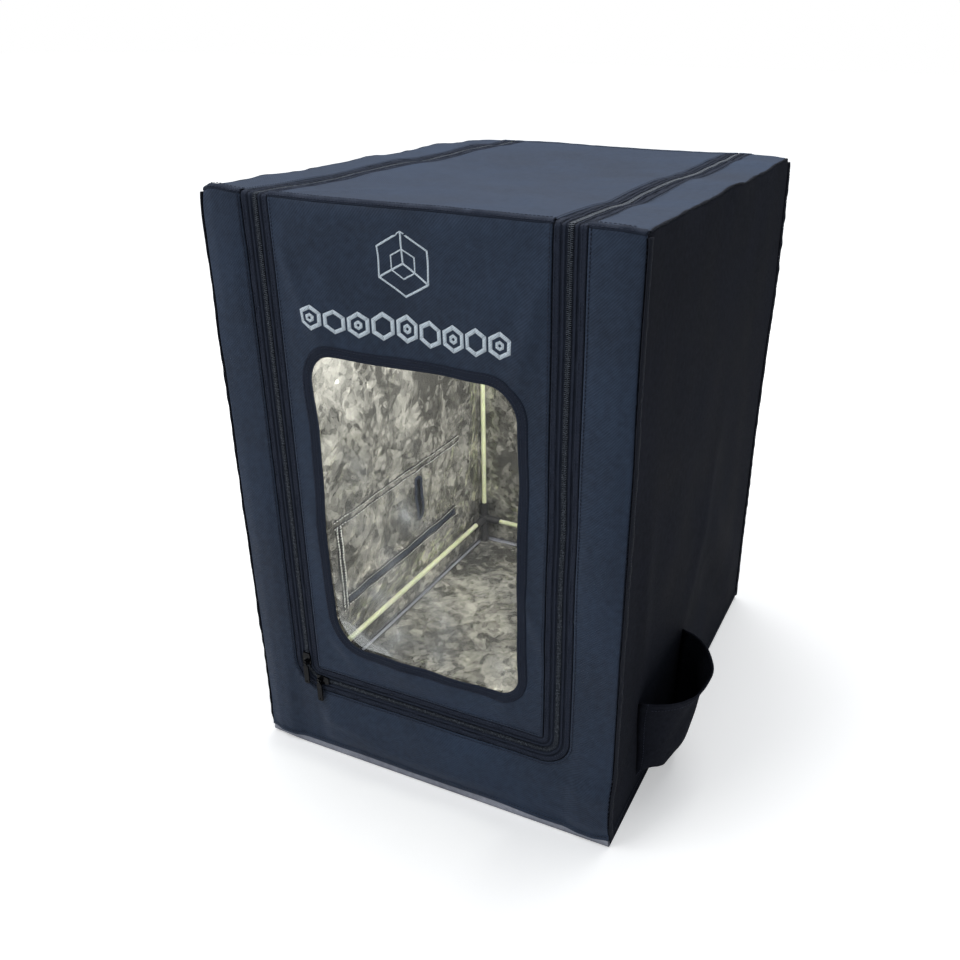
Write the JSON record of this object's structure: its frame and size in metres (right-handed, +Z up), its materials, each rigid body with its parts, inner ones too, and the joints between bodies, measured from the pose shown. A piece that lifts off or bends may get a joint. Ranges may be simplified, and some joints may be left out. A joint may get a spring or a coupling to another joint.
{
  "type": "printer enclosure tent",
  "caption": "Soft-sided box tent for a desktop 3-D printer: foil-lined fabric over a rod frame, with a zip-open front and top, clear front window, side pocket and cable port.",
  "frame": {"origin": "centre of the footprint, on the surface the tent stands on", "axes": "+Z up, -Y towards the window side, +X towards the side with the pocket"},
  "size_m": [0.5448, 0.6098, 0.7023],
  "materials": {
    "outer_fabric": "matte twill",
    "floor_fabric": "matte weave",
    "foil_lining": "crinkled foil",
    "clear_window": "clear flexible sheet",
    "binding_tape": "ribbed tape",
    "piping": "matte binding",
    "zip_tape": "woven tape",
    "zip_teeth": "glossy",
    "slider_metal": "gloss black",
    "pull_metal": "gloss black",
    "hook_tape": "hook tape",
    "loop_tape": "loop tape",
    "fibreglass_rod": "satin translucent",
    "connector_plastic": "satin black"
  },
  "bodies": {
    "cover": {"post_front_left": "fibreglass_rod", "post_front_right": "fibreglass_rod", "post_back_left": "fibreglass_rod", "post_back_right": "fibreglass_rod", "rail_bottom_front": "fibreglass_rod", "rail_bottom_back": "fibreglass_rod", "rail_bottom_left": "fibreglass_rod", "rail_bottom_right": "fibreglass_rod", "rail_top_front": "fibreglass_rod", "rail_top_back": "fibreglass_rod", "rail_top_left": "fibreglass_rod", "rail_top_right": "fibreglass_rod", "connector_bottom_front_left": "connector_plastic", "connector_bottom_front_right": "connector_plastic", "connector_bottom_back_left": "connector_plastic", "connector_bottom_back_right": "connector_plastic", "connector_top_front_left": "connector_plastic", "connector_top_front_right": "connector_plastic", "connector_top_back_left": "connector_plastic", "connector_top_back_right": "connector_plastic", "wall_left": "outer_fabric", "wall_right": "outer_fabric", "wall_back": "outer_fabric", "front_surround": "outer_fabric", "top_strip_left": "outer_fabric", "top_strip_right": "outer_fabric", "pocket_right": "outer_fabric", "cable_flap_band": "outer_fabric", "floor_panel": "floor_fabric", "lining_left": "foil_lining", "lining_right": "foil_lining", "lining_back": "foil_lining", "lining_floor": "foil_lining", "lining_front": "foil_lining", "lining_top_strips": "foil_lining", "piping_vertical": "piping", "piping_top": "piping", "piping_hem": "piping", "cable_hook_strip": "hook_tape", "zip_tape_fixed": "zip_tape", "zip_teeth_fixed": "zip_teeth"},
    "top_flap": {"top_flap": "outer_fabric", "top_flap_lining": "foil_lining", "zip_tape_top": "zip_tape", "zip_teeth_top": "zip_teeth", "piping_fold": "piping"},
    "front_flap": {"front_flap": "outer_fabric", "front_flap_lining": "foil_lining", "window_pane": "clear_window", "window_binding": "binding_tape", "zip_tape_front": "zip_tape", "zip_teeth_front": "zip_teeth"},
    "slider_left": {"slider_left": "slider_metal"},
    "pull_left": {"pull_left": "pull_metal"},
    "slider_bottom": {"slider_bottom": "slider_metal"},
    "pull_bottom": {"pull_bottom": "pull_metal"},
    "cable_flap": {"cable_flap": "outer_fabric", "cable_loop_strip": "loop_tape"}
  },
  "joints": [
    {"name": "top_flap_lift", "type": "hinge", "parent": "cover", "child": "top_flap", "pos_m": [0, 0.3002, 0.7002], "axis": [-1, 0, 0], "range_deg": [0, 180]},
    {"name": "front_flap_lift", "type": "hinge", "parent": "top_flap", "child": "front_flap", "pos_m": [0, -0.3002, 0.7002], "axis": [-1, 0, 0], "range_deg": [0, 255]},
    {"name": "slider_left_run", "type": "slide", "parent": "front_flap", "child": "slider_left", "axis": [0, 0, 1], "range_m": [0, 0.48]},
    {"name": "slider_bottom_run", "type": "slide", "parent": "front_flap", "child": "slider_bottom", "axis": [1, 0, 0], "range_m": [0, 0.29]},
    {"name": "pull_left_swing", "type": "hinge", "parent": "slider_left", "child": "pull_left", "pos_m": [-0.17, -0.3047, 0.136], "axis": [-1, 0, 0], "range_deg": [0, 175]},
    {"name": "pull_bottom_swing", "type": "hinge", "parent": "slider_bottom", "child": "pull_bottom", "pos_m": [-0.152, -0.3047, 0.114], "axis": [-1, 0, 0], "range_deg": [0, 175]},
    {"name": "cable_flap_lift", "type": "hinge", "parent": "cover", "child": "cable_flap", "pos_m": [-0.2414, 0, 0.231], "axis": [0, 1, 0], "range_deg": [0, 150]}
  ]
}
